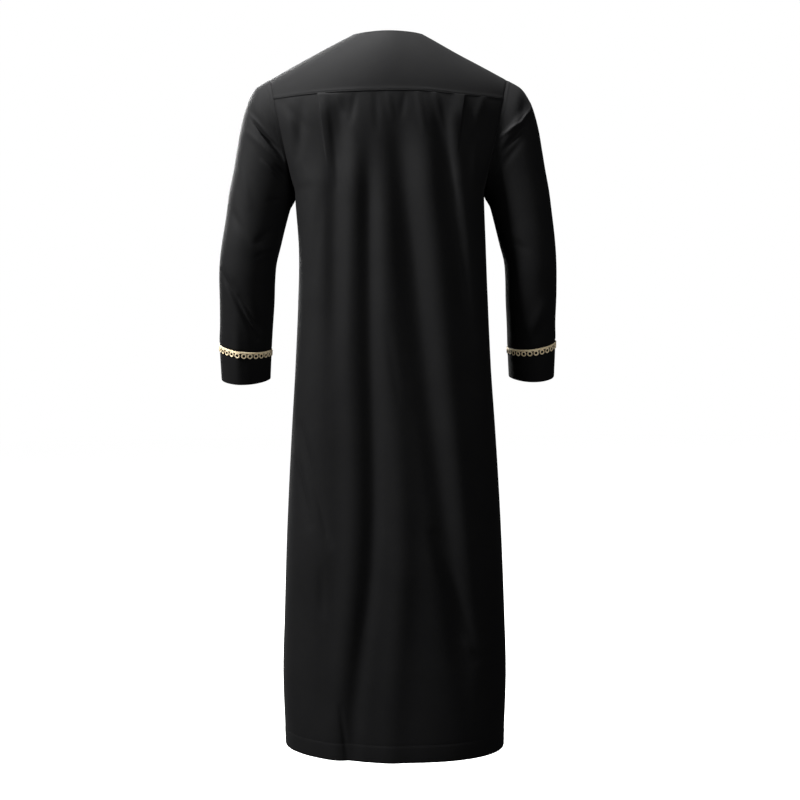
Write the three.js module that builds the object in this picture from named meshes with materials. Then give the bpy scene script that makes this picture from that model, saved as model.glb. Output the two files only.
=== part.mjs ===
// A long kaftan, worn and filled out with no wearer: hollow cloth, open at neck, hem and cuffs.
// Millimetres, +Z up, the front faces -Y and the wearer's left is +X.
// The origin lies between the shoulders, level with the sides of the neck opening.

import * as THREE from 'three';

// Cloth and seams
const CLOTH = 1.6; // wall of the body and the sleeves, seam allowances counted in
const CUFF_CLOTH = 2.2; // a cuff is cloth turned back on itself
const PLACKET_CLOTH = 2.0;
const BRAID = 1.4; // thickness of the braid on the cuffs
const SEAM_GAP = 0.3; // between two pieces that are sewn together
const HALF_GAP = SEAM_GAP / 2;
const FINE_STEP = 0.002; // step in which the slope of the cloth is measured

// Shoulders and armholes
const SHOULDER_DROP = 0.53; // fall of the shoulder for each millimetre outwards
const SHOULDER_CROWN = 37.5; // height at which the two shoulder slopes would meet
const SHOULDER_ROUND = 25; // rounding where they meet
const SHOULDER_REACH = 244; // distance out along the shoulder for a whole share, less its taper
const SHOULDER_TAPER = 18;
const RIGHT_LOWER = 5; // the right shoulder hangs this much lower than the left one
const RIGHT_LOWER_START = 45; // distance from the middle at which that begins
const RIGHT_LOWER_REACH = 100; // and over which it comes in
const RIGHT_LOWER_FROM = -260; // level from which it comes in, upwards
const RIGHT_LOWER_RISE = 150;
const ARMHOLE_TOP_X = 226;
const ARMHOLE_TOP_Z = -83;
const ARMPIT_X = 179;
const ARMPIT_Z = -302;
const ARMHOLE_HALF_DEPTH = 62;
const BLADE_Z = (ARMHOLE_TOP_Z + ARMPIT_Z) / 2; // level where back and chest stand out most
const ROUNDNESS = 2.6; // exponent of the body's section at the blades, 2 is an ellipse
const ARMPIT_ROUNDNESS = 3.3; // the sections are squarer under the arms
const HEM_ROUNDNESS = 2.25; // and rounder at the hem
const ROUNDNESS_FADE = 1040; // length over which they round out
const SEAM_CALM = 0.2; // share of the width in which the folds fade out beside a seam
const NECK_BLEND = 0.8; // share of the neck's half width over which the shoulder seam leaves it

// Neck, yoke and hem
const NECK_SIDE = 0.282; // side of the neck opening, as a share of the armhole's distance
const NECK_BACK_Z = -5;
const NECK_FRONT_DROP = 84;
const YOKE_SEAM_Z = -130;
const SHOULDER_SEAM_FORWARD = 0.16; // turn of the shoulder seam over to the front, radians
const HEM_Z = -1345;
const HEM_CALM = 0.6; // the hem's weight evens out the folds to this share
const HEM_CALM_FROM = -1000;
const HEM_TILT = 0.02; // the hem hangs lower on the right, by this share of the distance out
const DEGREES = Math.PI / 180;

// Front opening
const PLACKET_HALF_WIDTH = 17;
const PLACKET_LENGTH = 310;
const SLIT_HALF_WIDTH = 1.0;
const SLIT_END_Z = -370; // the slit ends above the placket's lower end
const BUTTONS = 4;
const BUTTON_RADIUS = 6;
const BUTTON_THICK = 2.6;
const BUTTON_FIRST = 14; // from the neck edge to the first button
const BUTTON_LAST = 44; // from the last button to the placket's lower end

// The body below the armpits: a row for each level
// columns: level, half_width, back, front, centre_x
const BODY = {
  columns: ['level', 'half_width', 'back', 'front', 'centre_x'],
  rows: [
    [-83, 186, 108, 108, 0],
    [BLADE_Z, 181, 112, 112, 0],
    [ARMPIT_Z, ARMPIT_X, 114, 117, 0],
    [-409, 177, 116, 119, -4.5],
    [-504, 179.5, 117, 120, -4.8],
    [-638, 185.5, 119, 120, -3.8],
    [-753, 193, 121, 122, -3.4],
    [-867, 199.6, 124, 124, -3],
    [-982, 205, 128, 128, -2.5],
    [-1096, 209, 131, 132, -2],
    [-1211, 212, 137, 138, -1],
    [HEM_Z, 207.5, 145, 143, 0],
  ],
};

// The folds that hang down the body: a row for each fold, seen square on
// columns: from and to are levels, x0 to x3 its place at thirds of its length, out its height
// (a trough is below zero), half is half its width, and fade_in and fade_out its soft ends
const FOLD_COLUMNS = ['from', 'to', 'x0', 'x1', 'x2', 'x3', 'out', 'half', 'fade_in', 'fade_out'];
const BACK_FOLDS = {
  columns: FOLD_COLUMNS,
  rows: [
    [-240, HEM_Z, 130, 134, 138, 138, 4, 34, 200, 0],
    [-132, -700, 84, 98, 100, 104, -6, 18, 40, 260],
    [-140, HEM_Z, 58, 74, 72, 108, 6.5, 22, 180, 0],
    [-190, HEM_Z, 38, 36, 36, 78, -6.5, 16, 150, 0],
    [-160, HEM_Z, 10, 3, -16, 8, 8, 26, 260, 0],
    [-130, HEM_Z, -14, -50, -98, -142, -9.5, 24, 120, 260],
    [-145, -1140, -60, -88, -119, -146, 7, 24, 150, 300],
    [-132, -700, -96, -110, -138, -156, -7.5, 18, 70, 240],
    [-130, -620, -112, -129, -148, -160, 4, 14, 60, 200],
  ],
};
const FRONT_FOLDS = {
  columns: FOLD_COLUMNS,
  rows: [
    [-330, HEM_Z, 118, 124, 118, 132, 6, 28, 240, 0],
    [-260, HEM_Z, 78, 80, 86, 92, -6, 22, 260, 0],
    [-420, HEM_Z, 38, 44, 40, 50, 7, 26, 260, 0],
    [-500, HEM_Z, 4, -4, 6, 2, -6, 22, 240, 0],
    [-430, HEM_Z, -36, -44, -36, -46, 7, 26, 260, 0],
    [-250, -1250, -80, -72, -88, -96, -7, 22, 250, 260],
    [-340, HEM_Z, -120, -118, -128, -134, 6, 26, 240, 0],
  ],
};

// The two pleats sewn into the yoke seam: the middle of the back lies over its sides
// columns: place is the edge as a share of the armhole's distance, step its height,
// reach how far the lifted cloth goes towards the middle, and length how far down it lasts
const PLEATS = {
  columns: ['place', 'step', 'reach', 'length'],
  rows: [
    [0.605, 6, 0.16, 150],
    [-0.66, 6, 0.14, 125],
  ],
};
const PLEAT_EDGE = 0.018; // width of a pleat's steep edge, as a share

// The sleeves and cuffs: a row for each ring, from the armhole to the cuff's edge
// outer and inner are the sides away from and next to the body, drop is how much lower
// the back of the ring hangs, because the forearm points forward
const SLEEVE = {
  columns: [
    'left_outer', 'right_outer', 'outer_z', 'left_inner', 'right_inner', 'inner_z',
    'centre_y', 'half_depth', 'drop',
  ],
  rows: [
    [226, 226, -83, 179, 179, -302, 0, 62, 0],
    [241, 241, -91, 179, 179.3, -304.5, 0, 63.5, 0],
    [253, 253, -99.5, 179.2, 180, -307, 0, 64.5, 0],
    [262, 263, -113, 179.6, 181, -309, 0, 65, 0],
    [271, 273, -134, 180.2, 182, -311, 0, 65, 0],
    [278, 280, -157, 181, 183, -313, 0, 65, 0],
    [284, 286, -185, 182, 184.5, -315.5, 0, 65, 0],
    [290, 291, -218, 183.8, 186.3, -318, 0, 64.5, 0],
    [297, 297, -258, 186, 188.5, -322, 0, 64, 0],
    [305.5, 304, -300, 190, 192, -330, 1, 63, 0],
    [311.5, 309, -345, 199, 200, -363, 3, 61.5, 0],
    [318, 313, -385, 208, 208.5, -400, 5, 60, 0],
    [323, 315.5, -420, 216, 216.5, -432, 5, 58, 1.5],
    [325.5, 316.5, -455, 219.5, 219, -465, 3, 57, 4],
    [326, 316.5, -500, 222, 220, -508, -4, 55.5, 9],
    [327.5, 315.5, -546, 226.5, 222.5, -554, -14, 53.5, 12.5],
    [330, 316.5, -582, 230, 224, -594, -23, 51.5, 12.5],
    [329, 315, -652, 234.5, 227.5, -652, -38, 48, 12],
  ],
};
const CUFF_START = 16; // the ring where the sleeve ends and the cuff begins
const CUFF_END = 17;
const CUFF_TALL = 65;
const RING_SPACING = 40; // between the sleeve's last two rings
const CREASE_ENDS = 0.12; // creases start and end with some height, as a share of a half wave
const HANG_POWER = 0.35; // above 0 the ring hangs in a point more than in a curve
const SLEEVE_CALM = 1.2; // rings before the cuff in which the creases fade

// Creases across the sleeves: a row for each, as seen square on
// side is 1 for the left sleeve, face is 1 behind and -1 in front
const CREASES = {
  columns: ['side', 'face', 'x0', 'z0', 'x1', 'z1', 'out', 'half'],
  rows: [
    [1, 1, 268, -140, 196, -244, -5, 9],
    [1, -1, 264, -150, 200, -236, -4, 10],
    [-1, 1, 270, -138, 204, -228, 4, 8],
    [-1, -1, 266, -146, 204, -240, -4, 10],
    [1, 1, 210, -262, 184, -292, -4, 8],
    [1, 1, 292, -482, 232, -580, -5, 12],
    [1, 1, 216, -400, 240, -424, 4, 9],
    [-1, 1, 304, -500, 256, -580, 4, 14],
    [-1, -1, 300, -470, 250, -560, -4, 12],
    [1, -1, 300, -500, 250, -570, -4, 12],
    [-1, -1, 222, -396, 256, -424, -4, 10],
  ],
};

// The braid on the cuffs: a narrow band with a row of small rings under it
const BRAID_LOOPS = { left: 27, right: 25 };
const BRAID_BAND = 4.2;
const BRAID_BELOW_SEAM = 1.2; // the band's top edge under the cuff seam
const RING_CENTRE = 8.4; // from the band's top edge
const RING_RADIUS = 5.2;
const HOLE_RADIUS = 2.6;
const RING_JOIN = 2.8; // half the width where a ring grows out of the band
const CUFF_RADIUS = 50.5; // of the cuff where the braid runs, for widths along it
const BRAID_END_TURN = 0.012; // from the underarm seam to each end of the braid, radians

// Grids of the pieces
const BACK_COLUMNS = 30;
const NECK_COLUMNS = 8; // the yoke and the front have the same columns, so that both meet
const SHOULDER_COLUMNS = 9;
const YOKE_STEPS = 4; // steps along the armhole, shared by the sleeve: up the yoke,
const BACK_STEPS = 8; // down the back,
const CHEST_STEPS = 5; // from the shoulder seam to the level of the blades in front,
const UNDERARM_STEPS = 5; // and from there to the armpit

// Finishes
const BLACK_CLOTH = { color: 0x17171a, roughness: 0.78, metalness: 0 };
const GOLD_BRAID = { color: 0xd2b98c, roughness: 0.55, metalness: 0.15 };
const BLACK_BUTTON = { color: 0x101012, roughness: 0.35, metalness: 0 };

// Small helpers

function mix(a, b, share) {
  return a + (b - a) * share;
}

function clamp(value, low, high) {
  return Math.min(high, Math.max(low, value));
}

function smooth(value) {
  const t = clamp(value, 0, 1);
  return t * t * (3 - 2 * t);
}

function range(first, last, steps) {
  return Array.from({ length: steps + 1 }, (_, i) => mix(first, last, i / steps));
}

// A smooth curve through four neighbouring values
function throughFour(a, b, c, d, t) {
  const slopeIn = (c - a) / 2;
  const slopeOut = (d - b) / 2;
  const t2 = t * t;
  const t3 = t2 * t;
  return (2 * t3 - 3 * t2 + 1) * b + (t3 - 2 * t2 + t) * slopeIn
    + (3 * t2 - 2 * t3) * c + (t3 - t2) * slopeOut;
}

// A table's column at a place between its rows, counted in rows
function atRow(table, column, place) {
  const k = table.columns.indexOf(column);
  const last = table.rows.length - 1;
  const i = clamp(Math.floor(place), 0, last - 1);
  const value = (row) => table.rows[clamp(row, 0, last)][k];
  return throughFour(value(i - 1), value(i), value(i + 1), value(i + 2), clamp(place - i, 0, 1));
}

// The body table's column at a level
function atLevel(column, z) {
  const levels = BODY.rows.map((row) => row[0]);
  const last = levels.length - 1;
  if (z >= levels[0]) return atRow(BODY, column, 0);
  if (z <= levels[last]) return atRow(BODY, column, last);
  const i = levels.findIndex((level, k) => k < last && z <= level && z >= levels[k + 1]);
  return atRow(BODY, column, i + (levels[i] - z) / (levels[i] - levels[i + 1]));
}

function named(table) {
  return table.rows.map((row) => Object.fromEntries(table.columns.map((c, k) => [c, row[k]])));
}

const backFolds = named(BACK_FOLDS);
const frontFolds = named(FRONT_FOLDS);
const pleats = named(PLEATS);
const creases = named(CREASES);

// The body's form

// Lowers the right shoulder a little, body and sleeve alike
function settled(point) {
  const outwards = smooth((-point.x - RIGHT_LOWER_START) / RIGHT_LOWER_REACH);
  const upwards = smooth((point.z - RIGHT_LOWER_FROM) / RIGHT_LOWER_RISE);
  point.z -= RIGHT_LOWER * outwards * upwards;
  return point;
}

// Share of the armhole's height, 0 at the top and 1 at the armpit
function armholeShare(z) {
  return (ARMHOLE_TOP_Z - z) / (ARMHOLE_TOP_Z - ARMPIT_Z);
}

// Distance from the middle to the armhole or, lower down, to the side seam
function halfWidth(z) {
  if (z < ARMPIT_Z) return atLevel('half_width', z);
  return mix(ARMHOLE_TOP_X, ARMPIT_X, armholeShare(z));
}

// Sideways sway of the body, none above the armpits
function sway(z) {
  return z < ARMPIT_Z ? atLevel('centre_x', z) : 0;
}

function shoulderZ(s) {
  const x = Math.abs(s) * (SHOULDER_REACH - SHOULDER_TAPER * Math.abs(s));
  return SHOULDER_CROWN - SHOULDER_DROP * Math.hypot(x, SHOULDER_ROUND);
}

function foldOut(folds, x, z) {
  let out = 0;
  for (const f of folds) {
    if (z > f.from || z < f.to) continue;
    const run = (f.from - z) / (f.from - f.to);
    const i = Math.min(2, Math.floor(run * 3));
    const xs = [f.x0, f.x1, f.x2, f.x3];
    const near = (k) => xs[clamp(k, 0, 3)];
    const place = throughFour(near(i - 1), near(i), near(i + 1), near(i + 2), run * 3 - i);
    const starts = smooth((f.from - z) / f.fade_in);
    const ends = f.fade_out > 0 ? smooth((z - f.to) / f.fade_out) : 1;
    const away = (x - place) / f.half;
    out += f.out * starts * ends * Math.exp(-away * away);
  }
  return out;
}

function pleatOut(s, z) {
  let out = 0;
  for (const p of pleats) {
    const inward = (p.place - s) * Math.sign(p.place);
    const lifted = smooth(inward / PLEAT_EDGE + 0.5) * (1 - smooth(inward / p.reach));
    const lasts = 1 - smooth((YOKE_SEAM_Z - z) / p.length);
    out += p.step * lifted * lasts;
  }
  return out;
}

// How far the cloth stands out from the body's plain form, faded out at the seams beside it
function outAt(side, s, x, z) {
  const calm = smooth((1 - Math.abs(s)) / SEAM_CALM);
  const hemCalm = mix(1, HEM_CALM, smooth((z - HEM_CALM_FROM) / (HEM_Z - HEM_CALM_FROM)));
  const folds = hemCalm * foldOut(side > 0 ? backFolds : frontFolds, x, z);
  const pleated = side > 0 && z < YOKE_SEAM_Z + 1 ? pleatOut(s, z) : 0;
  return calm * (folds + pleated);
}

// The body's plain depth at a place, s being the share of the way from the middle to the side:
// above the blades an arch, at the armpits a rounded box, and between them a blend of the two
function plainDepth(side, s, z) {
  const middle = atLevel(side > 0 ? 'back' : 'front', Math.min(z, BLADE_Z));
  const near = Math.min(1, Math.abs(s));
  const share = clamp(armholeShare(z), 0.5, 1);
  const edge = ARMHOLE_HALF_DEPTH * Math.sqrt(Math.max(0, 1 - (2 * share - 1) ** 2));
  const open = edge + (middle - edge) * (1 - Math.pow(near, ROUNDNESS));
  if (z > BLADE_Z) {
    const rise = (z - BLADE_Z) / (shoulderZ(s) - BLADE_Z);
    return open * Math.sqrt(Math.max(0, 1 - rise * rise));
  }
  const square = mix(ARMPIT_ROUNDNESS, HEM_ROUNDNESS, smooth((ARMPIT_Z - z) / ROUNDNESS_FADE));
  const box = middle * Math.pow(1 - Math.pow(near, square), 1 / square);
  const closed = Math.hypot(box, edge * Math.pow(near, 6));
  return mix(open, closed, smooth((BLADE_Z - z) / (BLADE_Z - ARMPIT_Z)));
}

// A point of the outer face below the shoulders: side is 1 behind and -1 in front, turn runs
// across the body from -90 to 90 degrees, and z is the level
function bodyPoint(side, turn, z) {
  const s = Math.sin(turn);
  const x = s * halfWidth(z) + sway(z);
  const y = plainDepth(side, s, z) + HALF_GAP + outAt(side, s, x, z);
  const low = smooth((HEM_CALM_FROM - z) / (HEM_CALM_FROM - HEM_Z));
  return settled(new THREE.Vector3(x, side * y, z + HEM_TILT * x * low));
}

function levelOnShoulder(turn, angle) {
  return BLADE_Z + (shoulderZ(Math.sin(turn)) - BLADE_Z) * Math.cos(angle);
}

// The same face over the shoulders, by the angle from the ridge: 0 on the ridge,
// 90 degrees at the blades, and below zero on the far side of the ridge
function shoulderPoint(side, turn, angle) {
  const s = Math.sin(turn);
  const z = levelOnShoulder(turn, angle);
  const column = side * angle > 0 ? 'back' : 'front';
  const flat = Math.max(0, 1 - Math.pow(Math.abs(s), ROUNDNESS));
  const deep = ARMHOLE_HALF_DEPTH + (atLevel(column, BLADE_Z) - ARMHOLE_HALF_DEPTH) * flat;
  const x = s * halfWidth(z) + sway(z);
  const out = angle > 0 && side < 0 ? outAt(side, s, x, z) : 0;
  return settled(new THREE.Vector3(x, side * (deep * Math.sin(angle) + out), z));
}

// The angle from the ridge at which a level is met
function angleAt(s, z) {
  return Math.acos(clamp((z - BLADE_Z) / (shoulderZ(s) - BLADE_Z), -1, 1));
}

// The top edge of back and front: the neck opening, and the shoulder seam beside it
function topAngle(side, s) {
  const across = Math.abs(s) / NECK_SIDE;
  const forward = SHOULDER_SEAM_FORWARD * smooth((across - 1) / NECK_BLEND);
  if (across >= 1) return -side * forward;
  const dip = Math.sqrt(1 - across * across);
  const low = side > 0 ? NECK_BACK_Z : -NECK_FRONT_DROP;
  return angleAt(s, mix(shoulderZ(NECK_SIDE), low, dip));
}

// Turns one face of cloth into a closed wall: every kept quad is covered on both faces,
// and every free edge is closed
function thicken(outer, inner, quads) {
  const count = outer.length;
  const position = [...outer, ...inner].flatMap((p) => [p.x, p.y, p.z]);
  const index = [];
  const edges = new Map();
  for (const [a, b, c, d] of quads) {
    index.push(a, b, c, a, c, d);
    index.push(count + a, count + c, count + b, count + a, count + d, count + c);
    for (const [p, q] of [[a, b], [b, c], [c, d], [d, a]]) edges.set(`${p},${q}`, [p, q]);
  }
  for (const [p, q] of edges.values()) {
    if (edges.has(`${q},${p}`)) continue;
    index.push(q, p, count + p, q, count + p, count + q);
  }
  const geometry = new THREE.BufferGeometry();
  geometry.setAttribute('position', new THREE.Float32BufferAttribute(position, 3));
  geometry.setIndex(index);
  geometry.computeVertexNormals();
  return geometry;
}

// The outward direction of a face at a place, from its slope both ways
function facing(pointAt, u, v, sign, step) {
  const alongU = pointAt(u + step, v).sub(pointAt(u - step, v));
  const alongV = pointAt(u, v + step).sub(pointAt(u, v - step));
  return alongU.cross(alongV).normalize().multiplyScalar(sign);
}

// A wall over a grid of places, with the same places on both faces
function wall(us, vs, pointAt, facingAt, thick, sign, options = {}) {
  const { round = false, keep = () => true } = options;
  const outer = [];
  const inner = [];
  for (const v of vs) {
    for (const u of us) {
      const point = pointAt(u, v);
      outer.push(point);
      inner.push(point.clone().addScaledVector(facingAt(u, v), -thick));
    }
  }
  const width = us.length;
  const quads = [];
  for (let j = 0; j < vs.length - 1; j++) {
    for (let i = 0; i < (round ? width : width - 1); i++) {
      if (!keep(i, j)) continue;
      const next = (i + 1) % width;
      const quad = [j * width + i, j * width + next, (j + 1) * width + next, (j + 1) * width + i];
      quads.push(sign > 0 ? quad : quad.reverse());
    }
  }
  return thicken(outer, inner, quads);
}

const garment = new THREE.Group();

function addPiece(name, geometry, finish) {
  const mesh = new THREE.Mesh(geometry, new THREE.MeshStandardMaterial(finish));
  mesh.name = name;
  garment.add(mesh);
}

// The common edge direction of body and sleeve round the armhole
function armholeFacing(side, around) {
  const up = new THREE.Vector3(ARMHOLE_TOP_X - ARMPIT_X, 0, ARMHOLE_TOP_Z - ARMPIT_Z).normalize();
  const out = new THREE.Vector3(up.z, 0, -up.x);
  const height = (ARMHOLE_TOP_Z - ARMPIT_Z) / 2;
  const radial = up.clone().multiplyScalar(Math.cos(around) / height);
  radial.y = Math.sin(around) / ARMHOLE_HALF_DEPTH;
  radial.normalize();
  const lean = 0.3 + Math.pow((1 - Math.cos(around)) / 2, 4);
  const direction = radial.addScaledVector(out, lean).normalize();
  direction.x *= side;
  return direction;
}

// The place round the armhole of a level, 0 on the shoulder and a half turn at the armpit
function aroundArmhole(z) {
  return Math.acos(clamp(1 - 2 * armholeShare(z), -1, 1));
}

function levelAround(around) {
  return mix(ARMHOLE_TOP_Z, ARMPIT_Z, (1 - Math.cos(around)) / 2);
}

// Directions on the body: the shared one along an armhole, straight out at a side seam, and
// the cloth's own elsewhere, measured over the shoulders by the angle from the ridge; z is the
// level before the right shoulder is lowered
function bodyFacing(side, turn, z, angle) {
  const edge = Math.abs(turn) > Math.PI / 2 - 1e-6 ? Math.sign(turn) : 0;
  if (edge !== 0 && z < ARMPIT_Z - 1e-3) return new THREE.Vector3(edge, 0, 0);
  if (edge !== 0) return armholeFacing(edge, aroundArmhole(z) * (angle < 0 ? -side : side));
  if (z < BLADE_Z) return facing((t, down) => bodyPoint(side, t, -down), turn, -z, side, FINE_STEP);
  return facing((t, a) => shoulderPoint(side, t, a), turn, angle, side, FINE_STEP);
}

// Turns of the columns of the yoke and the front: round the neck, and out to the armholes
function neckTurns() {
  const neck = range(-Math.PI / 2, Math.PI / 2, NECK_COLUMNS)
    .map((t) => Math.asin(NECK_SIDE * Math.sin(t)));
  const shoulder = range(Math.asin(NECK_SIDE), Math.PI / 2, SHOULDER_COLUMNS).slice(1);
  return [...shoulder.map((t) => -t).reverse(), ...neck, ...shoulder];
}

// Turns of the back's columns, with two close ones at the edge of each pleat
function backTurns() {
  const turns = range(-Math.PI / 2, Math.PI / 2, BACK_COLUMNS);
  for (const p of pleats) {
    for (const half of [-0.5, 0.5]) turns.push(Math.asin(p.place + half * PLEAT_EDGE));
  }
  return turns.sort((a, b) => a - b);
}

const LOWER_LEVELS = [-318, -345, -385, -430, -480, -535, -590, -650, -710, -770, -830, -890,
  -950, -1010, -1070, -1130, -1185, -1240, -1290, HEM_Z];

// Levels down the armhole, close together where it turns under the arm, and on to the hem
function levelsFrom(top, steps) {
  const upper = range(aroundArmhole(top), Math.PI, steps);
  return [...upper.map(levelAround), ...LOWER_LEVELS];
}

// The back, from the yoke seam to the hem; places down it are negative levels
function makeBack() {
  const pointAt = (turn, down) => bodyPoint(1, turn, -down);
  const facingAt = (turn, down) => {
    if (Math.abs(turn) > Math.PI / 2 - 1e-6) return bodyFacing(1, turn, -down, 0);
    return facing(pointAt, turn, down, 1, FINE_STEP);
  };
  const downs = levelsFrom(YOKE_SEAM_Z - HALF_GAP, BACK_STEPS).map((z) => -z);
  return wall(backTurns(), downs, pointAt, facingAt, CLOTH, 1);
}

// The yoke: from the neck and the shoulder seams down to the seam across the back
function makeYoke() {
  const angleOf = (turn, share) => {
    const s = Math.sin(turn);
    return mix(topAngle(1, s), angleAt(s, YOKE_SEAM_Z + HALF_GAP), share);
  };
  const pointAt = (turn, share) => {
    const point = shoulderPoint(1, turn, angleOf(turn, share));
    return point.add(new THREE.Vector3(0, HALF_GAP, 0));
  };
  const facingAt = (turn, share) => {
    const angle = angleOf(turn, share);
    return bodyFacing(1, turn, levelOnShoulder(turn, angle), angle);
  };
  return wall(neckTurns(), range(0, 1, YOKE_STEPS), pointAt, facingAt, CLOTH, 1);
}

// The front: from the shoulder seams and the neck down to the hem, slit open at the middle
// places down it are 0 to 1 above the level of the blades and 1 to 2 below it
function makeFront() {
  const angleOf = (turn, down) => mix(topAngle(-1, Math.sin(turn)), Math.PI / 2, down);
  const pointAt = (turn, down) => {
    if (down > 1) return bodyPoint(-1, turn, mix(BLADE_Z, HEM_Z, down - 1));
    return shoulderPoint(-1, turn, angleOf(turn, down)).add(new THREE.Vector3(0, -HALF_GAP, 0));
  };
  const facingAt = (turn, down) => {
    if (down > 1) return bodyFacing(-1, turn, mix(BLADE_Z, HEM_Z, down - 1), 0);
    const angle = angleOf(turn, down);
    return bodyFacing(-1, turn, levelOnShoulder(turn, angle), angle);
  };
  const levels = levelsFrom(BLADE_Z, UNDERARM_STEPS).slice(1);
  const shares = levels.map((z) => 1 + (BLADE_Z - z) / (BLADE_Z - HEM_Z));
  const downs = [...range(0, 1, CHEST_STEPS), ...shares];
  const slit = SLIT_HALF_WIDTH / halfWidth(BLADE_Z);
  const turns = neckTurns().filter((turn) => Math.abs(turn) > slit / 2);
  turns.push(-slit, slit);
  turns.sort((a, b) => a - b);
  const inSlit = (i, j) => turns[i] < 0 && turns[i + 1] > 0
    && pointAt(0, downs[j + 1]).z > SLIT_END_Z;
  const keep = (i, j) => !inSlit(i, j);
  return wall(turns, downs, pointAt, facingAt, CLOTH, -1, { keep });
}

// The sleeves

// A point of a sleeve's outer face: around is 0 on the outer side and a quarter turn behind,
// and ring is the place down the sleeve, counted in rings
function sleevePoint(side, around, ring) {
  const hand = side > 0 ? 'left' : 'right';
  const cell = (column) => atRow(SLEEVE, column, ring);
  const outerX = cell(`${hand}_outer`);
  const innerX = cell(`${hand}_inner`);
  const along = (1 - Math.cos(around)) / 2;
  const x = side * mix(outerX, innerX, along);
  const hang = cell('drop') * Math.sin(around) * Math.abs(Math.sin(around)) ** HANG_POWER;
  const z = mix(cell('outer_z'), cell('inner_z'), along) - hang;
  const swell = Math.sin(around) * cell('half_depth');
  const gap = side * SEAM_GAP;
  const point = new THREE.Vector3(x + gap, cell('centre_y') + swell, z);
  const middleZ = (cell('outer_z') + cell('inner_z')) / 2;
  const centre = new THREE.Vector3(side * (outerX + innerX) / 2, cell('centre_y'), middleZ);
  const face = Math.sign(Math.sin(around));
  const wrinkle = creaseOut(side, face, point.x, point.z) * Math.abs(Math.sin(around));
  const calm = smooth(ring / 2) * (1 - smooth(ring - CUFF_START + SLEEVE_CALM));
  const away = point.clone().sub(centre).normalize();
  return settled(point.addScaledVector(away, wrinkle * calm));
}

// Height of the creases at a place, by the distance from each crease's line
function creaseOut(side, face, x, z) {
  let out = 0;
  for (const c of creases) {
    if (c.side !== side || c.face !== face) continue;
    const runX = side * (c.x1 - c.x0);
    const runZ = c.z1 - c.z0;
    const fromX = x - side * c.x0;
    const fromZ = z - c.z0;
    const share = clamp((fromX * runX + fromZ * runZ) / (runX * runX + runZ * runZ), 0, 1);
    const away = Math.hypot(fromX - share * runX, fromZ - share * runZ) / c.half;
    out += c.out * Math.sin(Math.PI * mix(CREASE_ENDS, 1 - CREASE_ENDS, share)) * Math.exp(-away * away);
  }
  return out;
}

function sleeveFacing(side) {
  const pointAt = (around, ring) => sleevePoint(side, around, ring);
  return (around, ring) => {
    if (ring < 1e-6) return armholeFacing(side, around > Math.PI ? around - 2 * Math.PI : around);
    return facing(pointAt, around, ring, -side, FINE_STEP);
  };
}

// Places round the armhole where the body's rows end, and round the whole sleeve after it
function sleeveColumns() {
  const seam = aroundArmhole(YOKE_SEAM_Z);
  const turn = 2 * Math.PI;
  return [
    ...range(-SHOULDER_SEAM_FORWARD, seam, YOKE_STEPS).slice(1),
    ...range(seam, Math.PI, BACK_STEPS).slice(1),
    ...range(Math.PI, 1.5 * Math.PI, UNDERARM_STEPS).slice(1),
    ...range(1.5 * Math.PI, turn - SHOULDER_SEAM_FORWARD, CHEST_STEPS).slice(1),
  ];
}

function makeSleeve(side) {
  const rings = [...range(0, CUFF_START - 1, CUFF_START - 1), CUFF_START - HALF_GAP / RING_SPACING];
  const pointAt = (around, ring) => sleevePoint(side, around, ring);
  return wall(sleeveColumns(), rings, pointAt, sleeveFacing(side), CLOTH, -side, { round: true });
}

function makeCuff(side) {
  const pointAt = (around, ring) => sleevePoint(side, around, ring);
  const rings = range(CUFF_START + HALF_GAP / CUFF_TALL, CUFF_END, 3);
  const options = { round: true };
  return wall(sleeveColumns(), rings, pointAt, sleeveFacing(side), CUFF_CLOTH, -side, options);
}

// The braid: each ring is a six-sided loop that hangs from the band, and the strip runs
// round the cuff from one side of the underarm seam to the other
function makeBraid(side) {
  const loops = side > 0 ? BRAID_LOOPS.left : BRAID_LOOPS.right;
  const pitch = 2 * (Math.PI - BRAID_END_TURN) / loops;
  const facingAt = sleeveFacing(side);
  const outer = [];
  const inner = [];
  const quads = [];
  const known = new Map();
  const vertex = (along, down) => {
    const around = Math.PI + BRAID_END_TURN + along;
    const ring = CUFF_START + (BRAID_BELOW_SEAM + down) / CUFF_TALL;
    const key = `${around.toFixed(6)},${ring.toFixed(6)}`;
    if (!known.has(key)) {
      const point = sleevePoint(side, around, ring);
      const direction = facingAt(around, ring);
      known.set(key, outer.length);
      outer.push(point.clone().addScaledVector(direction, SEAM_GAP + BRAID));
      inner.push(point.clone().addScaledVector(direction, SEAM_GAP));
    }
    return known.get(key);
  };
  const corners = [120, 60, 0, -60, -120, -180].map((angle) => angle * DEGREES);
  for (let k = 0; k < loops; k++) {
    const middle = (k + 0.5) * pitch;
    const place = (x, down) => vertex(middle + x / CUFF_RADIUS, down);
    const onCircle = (radius) => corners
      .map((a) => place(radius * Math.cos(a), RING_CENTRE - radius * Math.sin(a)));
    const end = (sign, down) => vertex(middle + sign * pitch / 2, down);
    const hole = onCircle(HOLE_RADIUS);
    const edge = onCircle(RING_RADIUS);
    edge[0] = place(-RING_JOIN, BRAID_BAND);
    edge[1] = place(RING_JOIN, BRAID_BAND);
    for (let i = 0; i < corners.length; i++) {
      const next = (i + 1) % corners.length;
      quads.push([edge[i], edge[next], hole[next], hole[i]]);
    }
    const tops = [end(-1, 0), place(-RING_JOIN, 0), place(RING_JOIN, 0), end(1, 0)];
    const lows = [end(-1, BRAID_BAND), edge[0], edge[1], end(1, BRAID_BAND)];
    for (let i = 0; i < 3; i++) quads.push([tops[i], tops[i + 1], lows[i + 1], lows[i]]);
  }
  return thicken(outer, inner, side < 0 ? quads : quads.map((quad) => quad.reverse()));
}

// The front opening

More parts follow.
